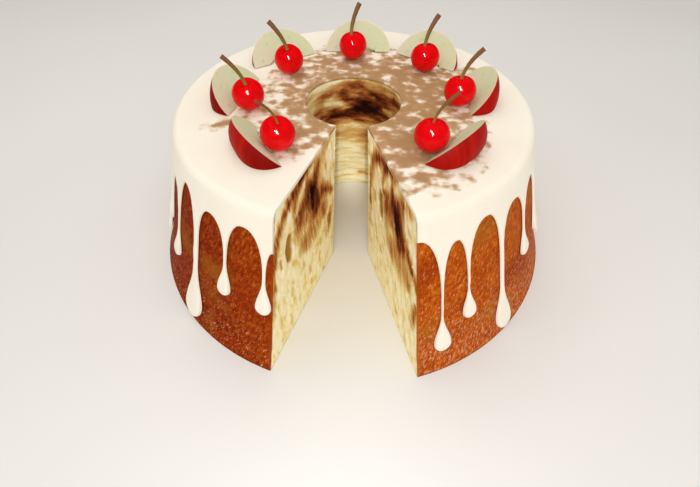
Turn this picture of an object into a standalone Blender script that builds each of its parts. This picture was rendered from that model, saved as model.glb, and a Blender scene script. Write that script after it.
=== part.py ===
"""Apple cinnamon coffee cake: a tube-pan ring cake with one slice cut out of its front.

Vanilla icing covers the top and runs down the side in drips. Seven apple wedges lie in a ring
on the icing, each with a stemmed cherry in front of it. Metres, +Z up, cut towards -Y.
"""
import math
import random

import bmesh
import bpy
from mathutils import Matrix, Vector, noise

# The ring, as it stands on its wide side.
BASE_RADIUS = 0.127
TOP_RADIUS = 0.0975
CAKE_HEIGHT = 0.0908
HOLE_RADIUS_BASE = 0.0368
HOLE_RADIUS_TOP = 0.0267
RIM_ROUNDING = 0.0035
FOOT_FLARE = 0.012
CUT_ANGLE = math.radians(36.0)
RING_STEPS = 54
FACE_COLUMNS = 6
FACE_ROWS = 8

# Relief: how deep the crust and the crumb are dented, and how far apart the dents are.
CRUST_RELIEF = 0.0007
CRUST_DENT_SPACING = 0.022
CRUMB_RELIEF = 0.0006
CRUMB_DENT_SPACING = 0.011

# The icing, and the clearance between pieces that touch.
ICING_ON_TOP = 0.0018
ICING_ON_SIDE = 0.0013
ICING_IN_BULB = 0.0022
ICING_EDGE = 0.0012
CLEARANCE = 0.0003

# The drips that show: degrees from the cut's middle, height of the tip, half widths of bulb and neck.
DRIPS_LEFT = [(57.3, 0.0265, 0.0042, 0.0005), (45.3, 0.0025, 0.0075, 0.0017), (32.9, 0.035, 0.0041, 0.0008),
              (20.5, 0.035, 0.0042, 0.0008)]
DRIPS_RIGHT = [(24.9, 0.0125, 0.0048, 0.0005), (33.0, 0.0265, 0.0040, 0.0005), (45.6, 0.0025, 0.0062, 0.0014),
               (58.5, 0.0335, 0.0041, 0.0005), (71.3, 0.031, 0.0040, 0.0006)]
# The round top of the bare gap beyond each drip, seen from the cut: degrees, height, and how far
# down its sides go on rounding.
GAPS_LEFT = [(62.3, 0.0715, 0.022), (51.6, 0.0790, 0.030), (38.9, 0.0758, 0.020), (26.7, 0.0785, 0.025),
             (18.0, 0.0705, 0.020)]
GAPS_RIGHT = [(18.0, 0.0785, 0.034), (29.1, 0.0738, 0.032), (39.0, 0.0788, 0.027), (51.5, 0.0757, 0.020),
              (64.3, 0.0750, 0.022)]
# The rest of the ring is hidden. Its drips are alike: every third is a long one.
HIDDEN_DRIPS = 20
LONG_DRIP_TIPS = (0.003, 0.010)
LONG_BULBS = (0.0060, 0.0074)
SHORT_DRIP_TIPS = (0.024, 0.038)
SHORT_BULBS = (0.0039, 0.0046)
HIDDEN_NECK = 0.2
GAP_HEIGHTS = (0.071, 0.079)
GAP_ROUNDINGS = (0.020, 0.032)
UNEVEN_SPACING = 1.1
# Outline of a drip: how far up the neck lies, and how its bulb tapers and its sides round out.
NECK_ABOVE_TIP = 5.0
BULB_TAPER = 1.3
GAP_ROUNDNESS = 2.3
GAP_LEVELS = (0.0, 0.06, 0.35, 1.0)
NECK_LEVEL = 0.45
BULB_LEVELS = (2.2, 1.0, 0.35, 0.0)
DRIP_COLUMNS = 4
RIM_STEPS = 3
FULL_THICKNESS_ABOVE_GAP = 0.003
LIP_ROUNDING = 0.0008

# Apple wedges: an eighth of a small apple with its core scooped out.
WEDGE_HALF_LENGTH = 0.0208
WEDGE_DEPTH_CUT = 0.0197
WEDGE_DEPTH_SKIN = 0.0158
WEDGE_BLUNTNESS = 2.6
WEDGE_ANGLE = math.radians(47.2)
CORE_HALF_LENGTH = 0.0100
CORE_DEPTH = 0.0034

# Cherries and their stems.
CHERRY_RADIUS = 0.0087
CHERRY_HALF_HEIGHT = 0.0082
CHERRY_SQUARENESS = 0.88
DIMPLE_DEPTH = 0.0022
DIMPLE_RADIUS = 0.0026
CHERRY_TILT = math.radians(12.0)
STEM_RADIUS = 0.00085
STEM_TIP_RADIUS = 0.00125
STEM_BEND = (0.0030, 0.0137)
STEM_TIP = (0.0094, 0.0210)
STEM_SIDE = 0.0018

# Each topping: wedge's bearing and distance from the ring's axis, the way its skin faces, cherry's
# bearing and distance, the way its stem leans, and how many times as thick as the usual that stem
# is. Bearings run clockwise from the back.
TOPPINGS = [
    (0.6, 0.0596, -1.8, -2.8, 0.0507, 31.7, 1.2),
    (42.2, 0.0632, 35.1, 48.8, 0.0552, 48.1, 1.2),
    (84.0, 0.0641, 91.4, 92.7, 0.0575, 77.1, 1.05),
    (130.1, 0.0628, 127.1, 139.2, 0.0594, 91.8, 0.75),
    (-136.7, 0.0607, -120.3, -143.8, 0.0583, -131.5, 0.6),
    (-90.4, 0.0615, -77.0, -101.7, 0.0571, -90.1, 1.0),
    (-45.2, 0.0631, -32.7, -53.1, 0.0498, -77.2, 1.15),
]

# The cut takes the front of the rim, so the ring's axis lies a little before the middle of the whole.
AXIS_Y = -BASE_RADIUS * (1.0 - math.cos(CUT_ANGLE / 2)) / 2
CAKE_TOP = CAKE_HEIGHT - ICING_ON_TOP - CLEARANCE
WALL_LEAN = math.atan2(BASE_RADIUS - TOP_RADIUS, CAKE_HEIGHT)


def clear_scene():
    for item in list(bpy.data.objects):
        bpy.data.objects.remove(item, do_unlink=True)


def material(name, colour, roughness):
    made = bpy.data.materials.new(name)
    made.use_nodes = True
    shader = made.node_tree.nodes["Principled BSDF"]
    shader.inputs["Base Color"].default_value = (*colour, 1.0)
    shader.inputs["Roughness"].default_value = roughness
    return made


def finish(name, mesh_data, surface):
    """Weld the mesh, point its faces outwards, and put it in the scene as one object."""
    bmesh.ops.remove_doubles(mesh_data, verts=mesh_data.verts, dist=1e-6)
    bmesh.ops.dissolve_degenerate(mesh_data, edges=mesh_data.edges, dist=1e-6)
    bmesh.ops.triangulate(mesh_data, faces=mesh_data.faces)
    bmesh.ops.recalc_face_normals(mesh_data, faces=mesh_data.faces)
    mesh = bpy.data.meshes.new(name)
    mesh_data.to_mesh(mesh)
    mesh_data.free()
    mesh.shade_smooth()
    mesh.set_sharp_from_angle(angle=math.radians(38.0))
    mesh.materials.append(surface)
    item = bpy.data.objects.new(name, mesh)
    bpy.context.scene.collection.objects.link(item)
    return item


def around(bearing, radius, height):
    """The point at a bearing (radians, clockwise from the back) and radius about the ring's axis."""
    return Vector((radius * math.sin(bearing), AXIS_Y + radius * math.cos(bearing), height))


def blend(low, high, share):
    return low + (high - low) * share


def hole_radius(height):
    return blend(HOLE_RADIUS_BASE, HOLE_RADIUS_TOP, height / CAKE_HEIGHT)


def wall_point(height, proud):
    """Radius and height of a point that stands proud of the crust, square to the sloping wall."""
    crust = blend(BASE_RADIUS, TOP_RADIUS, height / CAKE_HEIGHT) - ICING_ON_SIDE
    crust += ICING_ON_SIDE * max(0.0, 1.0 - height / FOOT_FLARE)
    return crust + proud * math.cos(WALL_LEAN), height + proud * math.sin(WALL_LEAN)


def rim_arc(proud, steps):
    """Points round the top edge, from the wall to the top, standing proud of the cake's own edge."""
    turn = math.pi / 2 - WALL_LEAN
    reach = RIM_ROUNDING * math.tan(turn / 2)
    centre_radius = wall_point(CAKE_TOP, 0.0)[0] - reach
    centre_height = CAKE_TOP - RIM_ROUNDING
    out = RIM_ROUNDING + proud
    points = []
    for step in range(steps + 1):
        angle = blend(WALL_LEAN, math.pi / 2, step / steps)
        points.append((centre_radius + out * math.cos(angle), centre_height + out * math.sin(angle)))
    return points


def grid_faces(mesh_data, rows):
    for low, high in zip(rows, rows[1:]):
        for index in range(len(low) - 1):
            corners = [low[index], low[index + 1], high[index + 1], high[index]]
            mesh_data.faces.new(corners)


def cake_edges():
    """The four edges of a cut face: foot, crust, top and hole wall, as radius and height."""
    arc = rim_arc(0.0, 4)
    shares = [column / FACE_COLUMNS for column in range(FACE_COLUMNS + 1)]
    foot = [(blend(HOLE_RADIUS_BASE, BASE_RADIUS, share), 0.0) for share in shares]
    crust = [wall_point(arc[0][1] * row / 6, 0.0) for row in range(7)] + arc[1:3]
    inner_end = hole_radius(CAKE_TOP)
    top = [(blend(inner_end, arc[4][0], column / 4), CAKE_TOP) for column in range(5)] + [arc[3], arc[2]]
    heights = [CAKE_TOP * row / FACE_ROWS for row in range(FACE_ROWS + 1)]
    hole = [(hole_radius(height), height) for height in heights]
    return foot, crust, top, hole


def inside_cut(edges, column, row):
    """A point within the cut face, carried over from its four edges."""
    foot, crust, top, hole = edges
    across, up = column / FACE_COLUMNS, row / FACE_ROWS
    point = []
    for axis in range(2):
        between_foot_and_top = blend(foot[column][axis], top[column][axis], up)
        between_hole_and_crust = blend(hole[row][axis], crust[row][axis], across)
        low = blend(foot[0][axis], foot[-1][axis], across)
        high = blend(top[0][axis], top[-1][axis], across)
        point.append(between_foot_and_top + between_hole_and_crust - blend(low, high, up))
    return point


def build_cake(surface):
    """The ring: its outline turned through 324 degrees, with a rough crumb face at each cut."""
    edges = cake_edges()
    foot, crust, top, hole = edges
    outline = foot[:-1] + crust[:-1] + top[:0:-1] + hole[:0:-1]
    on_crust = crust[1:7]
    start = CUT_ANGLE / 2 - math.pi
    mesh_data = bmesh.new()
    rings = []
    for step in range(RING_STEPS + 1):
        bearing = start + (2 * math.pi - CUT_ANGLE) * step / RING_STEPS
        ring = []
        for radius, height in outline:
            if (radius, height) in on_crust and 0 < step < RING_STEPS:
                spot = around(bearing, radius, height)
                radius -= CRUST_RELIEF * (0.5 + 0.5 * noise.noise(spot / CRUST_DENT_SPACING))
            ring.append(mesh_data.verts.new(around(bearing, radius, height)))
        rings.append(ring + ring[:1])
    grid_faces(mesh_data, rings)
    for bearing, side in ((start, 1.0), (-start, -1.0)):
        inwards = Vector((math.cos(bearing), -math.sin(bearing), 0.0)) * side
        rows = []
        for row in range(FACE_ROWS + 1):
            line = []
            for column in range(FACE_COLUMNS + 1):
                spot = around(bearing, *inside_cut(edges, column, row))
                if 0 < row < FACE_ROWS and 0 < column < FACE_COLUMNS:
                    spot += inwards * CRUMB_RELIEF * (1.0 + noise.noise(spot / CRUMB_DENT_SPACING))
                line.append(mesh_data.verts.new(spot))
            rows.append(line)
        grid_faces(mesh_data, rows)
    return finish("cake", mesh_data, surface)


def all_drips():
    """Every drip round the ring, clockwise from the cut's left face, and the gaps between them."""
    chance = random.Random(11)
    drips = [(angle - 180.0, *sizes) for angle, *sizes in reversed(DRIPS_LEFT)]
    gaps = [(angle - 180.0, *sizes) for angle, *sizes in reversed(GAPS_LEFT)]
    first = gaps[-1][0]
    last = 180.0 - GAPS_RIGHT[-1][0]
    pitch = (last - first) / (HIDDEN_DRIPS + 1)
    hidden = []
    for index in range(HIDDEN_DRIPS):
        tips, bulbs = (LONG_DRIP_TIPS, LONG_BULBS) if index % 3 == 1 else (SHORT_DRIP_TIPS, SHORT_BULBS)
        middle = first + pitch * (index + 0.5) + chance.uniform(-UNEVEN_SPACING, UNEVEN_SPACING)
        bulb = chance.uniform(*bulbs)
        hidden.append((middle, chance.uniform(*tips), bulb, HIDDEN_NECK * bulb))
        edge = first + pitch * (index + 1) + chance.uniform(-UNEVEN_SPACING, UNEVEN_SPACING)
        gaps.append((edge, chance.uniform(*GAP_HEIGHTS), chance.uniform(*GAP_ROUNDINGS)))
    drips += hidden + [(180.0 - angle, *sizes) for angle, *sizes in reversed(DRIPS_RIGHT)]
    gaps += [(180.0 - angle, *sizes) for angle, *sizes in reversed(GAPS_RIGHT)]
    return drips, gaps


def neck_height(length, bulb):
    """How far above its tip a drip is as thin as it gets."""
    return min(NECK_ABOVE_TIP * bulb, 0.55 * length)


def drip_half_width(above_tip, length, reach, rounding, bulb, neck):
    """Half the drip's width: a round bulb, a thin neck, then sides that round out to the gap's top."""
    neck_at = neck_height(length, bulb)
    if above_tip < bulb:
        return math.sqrt(max(0.0, bulb**2 - (bulb - above_tip) ** 2))
    if above_tip < neck_at:
        fade = 0.5 + 0.5 * math.cos(math.pi * (above_tip - bulb) / (neck_at - bulb))
        return neck + (bulb - neck) * fade**BULB_TAPER
    rise = min(1.0, max(0.0, 1.0 - (length - above_tip) / rounding))
    return reach - (reach - neck) * (1.0 - rise**GAP_ROUNDNESS) ** (1.0 / GAP_ROUNDNESS)


def icing_column(drip, gap_left, gap_right, across, proud_share):
    """Points of one column of the icing, from the hole's lip over the top and down to a drip's tip.

    across runs from -1 at the gap on the left to 1 at the gap on the right. proud_share is 0 for
    the underside, which lies on the cake, and 1 for the face that shows.
    """
    middle, tip, bulb, neck = drip
    gap, gap_height, gap_rounding = gap_left if across < 0 else gap_right
    start_height = blend((gap_left[1] + gap_right[1]) / 2, gap_height, abs(across))
    rounding = blend((gap_left[2] + gap_right[2]) / 2, gap_rounding, abs(across))
    turn = math.radians(gap - middle)
    bearing = math.radians(middle) + turn * abs(across)
    proud = CLEARANCE + ICING_ON_SIDE * proud_share
    points = []
    lip = hole_radius(CAKE_HEIGHT)
    underside = CAKE_TOP + CLEARANCE
    points.append(around(bearing, lip + LIP_ROUNDING, underside))
    if proud_share:
        points.append(around(bearing, lip, (underside + CAKE_HEIGHT) / 2))
        points.append(around(bearing, lip + LIP_ROUNDING, CAKE_HEIGHT))
    thicker_on_top = (ICING_ON_TOP - ICING_ON_SIDE) * proud_share
    for radius, height in reversed(rim_arc(proud, RIM_STEPS)):
        height += thicker_on_top * max(0.0, height - CAKE_TOP) / proud
        points.append(around(bearing, radius, height))
    points.append(around(bearing, *wall_point(start_height + FULL_THICKNESS_ABOVE_GAP, proud)))

    length = start_height - tip
    rounding = min(rounding, length - neck_height(length, bulb))
    levels = [length - rounding * share for share in GAP_LEVELS]
    levels.append(blend(BULB_LEVELS[0] * bulb, length - rounding, NECK_LEVEL))
    levels += [bulb * share for share in BULB_LEVELS]
    reach = abs(turn) * wall_point(start_height, 0.0)[0]
    for level in levels:
        height = tip + level
        radius = wall_point(height, 0.0)[0]
        half = drip_half_width(level, length, reach, rounding, bulb, neck)
        inset = half * (1.0 - abs(across))
        round_off = math.sqrt(max(0.0, 1.0 - max(0.0, 1.0 - inset / ICING_EDGE) ** 2))
        swell = math.exp(-(((level - bulb) / (1.3 * bulb)) ** 2))
        thick = blend(ICING_ON_SIDE, ICING_IN_BULB, swell) * round_off
        aside = math.copysign(half * abs(across) / radius, turn)
        spot = wall_point(height, CLEARANCE + thick * proud_share)
        points.append(around(math.radians(middle) + aside, *spot))
    return points


def build_icing(surface):
    drips, gaps = all_drips()
    mesh_data = bmesh.new()
    for proud_share in (0.0, 1.0):
        for index, drip in enumerate(drips):
            columns = []
            for step in range(DRIP_COLUMNS + 1):
                across = 2.0 * step / DRIP_COLUMNS - 1.0
                points = icing_column(drip, gaps[index], gaps[index + 1], across, proud_share)
                columns.append([mesh_data.verts.new(point) for point in points])
            grid_faces(mesh_data, columns)
    rows_below_gap = len(GAP_LEVELS) + len(BULB_LEVELS)
    for end, side in ((0, -1.0), (-1, 1.0)):
        left, right = (gaps[:2] if side < 0 else gaps[-2:])
        shown = icing_column(drips[end], left, right, side, 1.0)[:-rows_below_gap]
        under = icing_column(drips[end], left, right, side, 0.0)[:-rows_below_gap]
        loop = shown + under[-2:0:-1]
        mesh_data.faces.new([mesh_data.verts.new(point) for point in loop])
    return finish("icing", mesh_data, surface)


def build_wedge(name, surface, bearing, distance, facing):
    """An apple wedge lying on one cut side, with its core edge towards the ring's middle."""
    stations = 12
    skin_steps = 4
    core_steps = 2
    mesh_data = bmesh.new()
    rows = []
    for station in range(stations + 1):
        turn = math.pi * station / stations
        along = -WEDGE_HALF_LENGTH * math.cos(turn)
        hollow = CORE_DEPTH * math.sqrt(max(0.0, 1.0 - (along / CORE_HALF_LENGTH) ** 2))
        blunt = max(0.0, 1.0 - abs(math.cos(turn)) ** WEDGE_BLUNTNESS) ** (1.0 / WEDGE_BLUNTNESS)
        row = []
        for step in range(skin_steps + 1):
            share = step / skin_steps
            depth = blend(WEDGE_DEPTH_SKIN * blunt, WEDGE_DEPTH_CUT * math.sin(turn), share)
            angle = WEDGE_ANGLE * share
            row.append((along, depth * math.cos(angle), depth * math.sin(angle)))
        for step in range(core_steps, -1, -1):
            angle = WEDGE_ANGLE * step / core_steps
            row.append((along, hollow * math.cos(angle), hollow * math.sin(angle)))
        rows.append([mesh_data.verts.new(point) for point in row])
        rows[-1].append(rows[-1][0])
    grid_faces(mesh_data, rows)
    turn_round = Matrix.Rotation(-math.radians(facing), 4, "Z")
    place = around(math.radians(bearing), distance, CAKE_HEIGHT + CLEARANCE)
    bmesh.ops.transform(mesh_data, matrix=Matrix.Translation(place) @ turn_round, verts=mesh_data.verts)
    return finish(name, mesh_data, surface)


def cherry_profile(steps):
    """Half outline of a cherry, from the bottom of its stem dimple to its underside."""
    points = []
    for step in range(steps + 1):
        angle = math.pi * step / steps
        radius = CHERRY_RADIUS * math.sin(angle) ** CHERRY_SQUARENESS if 0 < step < steps else 0.0
        height = CHERRY_HALF_HEIGHT * math.cos(angle)
        if angle < math.pi / 2:
            height -= DIMPLE_DEPTH * math.exp(-((radius / DIMPLE_RADIUS) ** 2))
        points.append((radius, height))
    return points


def cherry_middle(bearing, distance):
    return around(math.radians(bearing), distance, CAKE_HEIGHT + CLEARANCE + CHERRY_HALF_HEIGHT)


def cherry_up(lean):
    """The tilted cherry's own axis: it leans square to the way its stem bends."""
    side = math.radians(lean) - math.pi / 2
    flat = math.sin(CHERRY_TILT)
    return Vector((flat * math.sin(side), flat * math.cos(side), math.cos(CHERRY_TILT)))


def build_cherry(name, surface, bearing, distance, lean):
    sides = 14
    mesh_data = bmesh.new()
    rows = []
    for side in range(sides + 1):
        angle = 2 * math.pi * side / sides
        line = [(r * math.cos(angle), r * math.sin(angle), z) for r, z in cherry_profile(9)]
        rows.append([mesh_data.verts.new(point) for point in line])
    grid_faces(mesh_data, rows)
    tilt = cherry_up(lean).to_track_quat("Z", "Y").to_matrix().to_4x4()
    place = Matrix.Translation(cherry_middle(bearing, distance))
    bmesh.ops.transform(mesh_data, matrix=place @ tilt, verts=mesh_data.verts)
    return finish(name, mesh_data, surface)


def build_stem(name, surface, bearing, distance, lean, thickness):
    """A thin stalk that rises from the dimple and bends outwards, thicker at its free end."""
    turn = math.radians(lean)
    outwards = Vector((math.sin(turn), math.cos(turn), 0.0))
    sideways = Vector((math.sin(turn - math.pi / 2), math.cos(turn - math.pi / 2), 0.0))
    middle = cherry_middle(bearing, distance)
    root = cherry_up(lean) * (CHERRY_HALF_HEIGHT - DIMPLE_DEPTH + STEM_RADIUS * max(1.0, thickness))
    bend = outwards * STEM_BEND[0] + sideways * STEM_SIDE + Vector((0, 0, STEM_BEND[1]))
    tip = outwards * STEM_TIP[0] + sideways * STEM_SIDE + Vector((0, 0, STEM_TIP[1]))
    control = bend * 2.0 - (root + tip) / 2
    steps = 7
    sides = 6
    mesh_data = bmesh.new()
    rings = []
    for step in range(steps + 1):
        share = step / steps
        spot = root * (1 - share) ** 2 + control * 2 * share * (1 - share) + tip * share**2
        heading = (control - root) * (1 - share) + (tip - control) * share
        frame = heading.to_track_quat("Z", "X").to_matrix()
        thick = thickness * blend(STEM_RADIUS, STEM_TIP_RADIUS, share)
        ring = []
        for side in range(sides):
            angle = 2 * math.pi * side / sides
            edge = frame @ Vector((thick * math.cos(angle), thick * math.sin(angle), 0.0))
            ring.append(mesh_data.verts.new(middle + spot + edge))
        rings.append(ring + ring[:1])
    grid_faces(mesh_data, rings)
    mesh_data.faces.new(rings[0][:-1])
    mesh_data.faces.new(rings[-1][:-1])
    return finish(name, mesh_data, surface)


clear_scene()
build_cake(material("baked sponge", (0.78, 0.52, 0.21), 0.85))
build_icing(material("vanilla icing", (0.95, 0.87, 0.73), 0.45))
apple = material("apple wedge", (0.55, 0.03, 0.02), 0.35)
cherry = material("glazed cherry", (0.70, 0.01, 0.01), 0.15)
stalk = material("cherry stalk", (0.23, 0.13, 0.05), 0.60)
for number, topping in enumerate(TOPPINGS, start=1):
    wedge_bearing, wedge_distance, wedge_facing, cherry_bearing, cherry_distance, stem_lean, thickness = topping
    build_wedge(f"apple_wedge_{number}", apple, wedge_bearing, wedge_distance, wedge_facing)
    build_cherry(f"cherry_{number}", cherry, cherry_bearing, cherry_distance, stem_lean)
    build_stem(f"cherry_stem_{number}", stalk, cherry_bearing, cherry_distance, stem_lean, thickness)
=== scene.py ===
"""Apple cinnamon coffee cake: its looks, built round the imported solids.

A tube-pan ring cake with one slice cut out of its front, vanilla icing dripping down its side,
sifted cinnamon, and a ring of seven apple wedges with stemmed cherries. Metres, +Z up.
"""
import math
import random

import bmesh
import bpy
import numpy as np
from mathutils import Matrix, Vector, kdtree, noise


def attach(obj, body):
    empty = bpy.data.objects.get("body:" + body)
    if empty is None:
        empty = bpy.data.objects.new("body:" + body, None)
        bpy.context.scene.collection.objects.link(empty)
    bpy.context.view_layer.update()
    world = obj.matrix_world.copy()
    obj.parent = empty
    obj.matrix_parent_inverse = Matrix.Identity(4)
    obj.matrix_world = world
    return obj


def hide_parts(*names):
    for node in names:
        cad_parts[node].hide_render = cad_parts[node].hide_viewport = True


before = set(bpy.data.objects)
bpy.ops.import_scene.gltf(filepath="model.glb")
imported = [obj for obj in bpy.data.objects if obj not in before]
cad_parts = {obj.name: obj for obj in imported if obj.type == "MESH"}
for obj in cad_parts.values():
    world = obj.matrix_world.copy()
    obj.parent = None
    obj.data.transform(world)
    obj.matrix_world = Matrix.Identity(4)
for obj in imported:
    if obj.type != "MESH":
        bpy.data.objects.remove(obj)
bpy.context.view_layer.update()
root = "root"

# The table and the light: a plain pale table top in a bright white room, with three soft lamps, a
# narrow beam into the cut, a small lamp that only glints on wet fruit, and the camera where the
# photo's stood, close above the cut and looking down into it.
CAMERA_PLACE = (0.00744, -0.22086, 0.21459)
CAMERA_DOWN = math.radians(48.45)
CAMERA_TURN = math.radians(2.45)
CAMERA_ROLL = math.radians(0.135)
CAMERA_LENS = 21.71
TABLE_SIDE = 8.0
BELOW_FOOT = 0.0002
CAKE_MIDDLE = (0.0, 0.0, 0.05)
BEAM_PLACE = (0.028, -0.76, 0.60)
BEAM_TARGET = (-0.002, 0.030, 0.026)
BEAM_SPREAD = math.radians(4.4)
GLINT_SLANT = math.radians(30.0)


def paint(code):
    """An sRGB hex colour as the linear values that shaders take."""
    parts = [int(code[start : start + 2], 16) / 255 for start in (1, 3, 5)]
    linear = [part / 12.92 if part <= 0.04045 else ((part + 0.055) / 1.055) ** 2.4 for part in parts]
    return (*linear, 1.0)


def connect(tree, node, inputs):
    """Sets inputs to a value, an output to link, or a node whose first live output is linked.

    They are named, or listed for the node's live sockets in Blender's own order: a Map Range takes
    the value, from low, from high, to low and to high, and a Mix the share, the first and the second.
    """
    if not isinstance(inputs, dict):
        live = [number for number, socket in enumerate(node.inputs) if socket.enabled]
        inputs = dict(zip(live, inputs))
    for key, value in inputs.items():
        if isinstance(value, bpy.types.Node):
            value = next(output for output in value.outputs if output.enabled)
        if isinstance(value, bpy.types.NodeSocket):
            tree.links.new(value, node.inputs[key])
        else:
            node.inputs[key].default_value = value


def add(tree, kind, inputs=(), stops=(), **settings):
    """Adds one node with its settings, its inputs and, on a colour ramp, its stops.

    A kind that doesn't say Node is one of the shader's, which Geometry Nodes share.
    """
    node = tree.nodes.new(kind if "Node" in kind else "ShaderNode" + kind)
    for name, value in settings.items():
        setattr(node, name, value)
    connect(tree, node, inputs)
    for index, (place, code) in enumerate(stops):
        stop = node.color_ramp.elements[index] if index < 2 else node.color_ramp.elements.new(place)
        stop.position = place
        stop.color = paint(code)
    return node


def new_material(name, **finish):
    """A Principled material with its shader's own sockets set, and the tree and shader to build on."""
    made = bpy.data.materials.new(name)
    made.use_nodes = True
    tree = made.node_tree
    shader = tree.nodes["Principled BSDF"]
    connect(tree, shader, {socket.replace("_", " "): value for socket, value in finish.items()})
    return made, tree, shader


def table_paint():
    """Matt pale laminate: even, with the faintest mottling of a wiped surface."""
    made, tree, shader = new_material("pale laminate", Roughness=0.6)
    place = add(tree, "TexCoord").outputs["Object"]
    mottle = add(tree, "TexNoise", {"Vector": place, "Scale": 3.0, "Detail": 2.0})
    tone = add(tree, "ValToRGB", [mottle], [(0.3, "#E6E3DE"), (0.7, "#EAE8E4")])
    connect(tree, shader, {"Base Color": tone})
    return made


def stand_lamp(name, lamp, place, target):
    """Stands a lamp at a place, turned to shine on the target, and unseen itself."""
    item = bpy.data.objects.new(name, lamp)
    item.location = place
    item.rotation_euler = (Vector(target) - Vector(place)).to_track_quat("-Z", "Y").to_euler()
    item.visible_camera = False
    bpy.context.scene.collection.objects.link(item)
    return item


def soft_lamp(name, place, width, height, watts, code):
    lamp = bpy.data.lights.new(name, "AREA")
    lamp.shape = "RECTANGLE"
    lamp.size = width
    lamp.size_y = height
    lamp.energy = watts
    lamp.color = paint(code)[:3]
    return stand_lamp(name, lamp, place, CAKE_MIDDLE)


bpy.ops.mesh.primitive_plane_add(size=TABLE_SIDE, location=(0.0, 0.0, -BELOW_FOOT))
table = bpy.context.object
table.name = "table"
table.data.materials.append(table_paint())

soft_lamp("window lamp", (-0.15, 0.30, 0.80), 0.60, 0.40, 1.4, "#FFFBF4").visible_glossy = False
soft_lamp("wide lamp", (0.14, -0.72, 0.62), 1.10, 0.35, 1.6, "#FFFDF8").visible_glossy = False
soft_lamp("front lamp", (0.03, -0.76, 0.60), 0.22, 0.30, 1.6, "#FFFDF8").visible_glossy = False
glint_lamp = soft_lamp("glint lamp", (-0.012, -0.235, 0.330), 0.050, 0.210, 4.6, "#FFFFFF")
glint_lamp.rotation_euler.rotate_axis("Z", GLINT_SLANT)
glint_lamp.visible_diffuse = False
beam = bpy.data.lights.new("beam through the cut", "SPOT")
beam.energy = 16.0
beam.spot_size = BEAM_SPREAD
beam.spot_blend = 0.8
beam.shadow_soft_size = 0.01
beam_lamp = stand_lamp("beam lamp", beam, BEAM_PLACE, BEAM_TARGET)
beam_lamp.scale = (0.5, 1.0, 1.0)
beam_lamp.visible_glossy = False
world = bpy.data.worlds.new("bright room")
world.use_nodes = True
world.node_tree.nodes["Background"].inputs["Color"].default_value = paint("#FFFDFA")
world.node_tree.nodes["Background"].inputs["Strength"].default_value = 0.69
world.cycles_visibility.glossy = False
bpy.context.scene.world = world
bpy.context.scene.view_settings.view_transform = "Standard"

lens = bpy.data.cameras.new("camera")
lens.lens = CAMERA_LENS
lens.clip_start = 0.01
camera = bpy.data.objects.new("camera", lens)
tip_down = Matrix.Rotation(math.pi / 2 - CAMERA_DOWN, 4, "X")
heading = Matrix.Rotation(CAMERA_TURN, 4, "Z") @ tip_down @ Matrix.Rotation(CAMERA_ROLL, 4, "Z")
camera.matrix_world = Matrix.Translation(CAMERA_PLACE) @ heading
bpy.context.scene.collection.objects.link(camera)
bpy.context.scene.camera = camera

# The sponge: a ring of dense coffee cake, baked in a tube pan and turned out on its wide side.
# The pan browned its outside to a crust. The knife left open crumb at both cuts, with the swirls
# of cinnamon sugar that were stirred through the batter, and the tube's wall shows them too.
BASE_RADIUS = 0.127
TOP_RADIUS = 0.0975
CAKE_HEIGHT = 0.0908
HOLE_RADIUS_BASE = 0.0368
HOLE_RADIUS_TOP = 0.0267
RIM_ROUNDING = 0.0035
FOOT_FLARE = 0.012
CUT_ANGLE = math.radians(36.0)
# The ring's axis lies in front of the footprint's middle by half of what the cut takes off.
AXIS_Y = -BASE_RADIUS * (1.0 - math.cos(CUT_ANGLE / 2)) / 2
ICING_ON_TOP = 0.0018
ICING_ON_SIDE = 0.0013
CLEARANCE = 0.0003
CAKE_TOP = CAKE_HEIGHT - ICING_ON_TOP - CLEARANCE
WALL_LEAN = math.atan2(BASE_RADIUS - TOP_RADIUS, CAKE_HEIGHT)
CRUST_THICKNESS = 0.0016
ROUND_STEPS = 480
CRUST_ROWS = 80
RIM_STEPS = 6
HOLE_ROWS = 40
CUT_ROWS = 112
CUT_COLUMNS = 104
TO_MM = 1000.0
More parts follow.
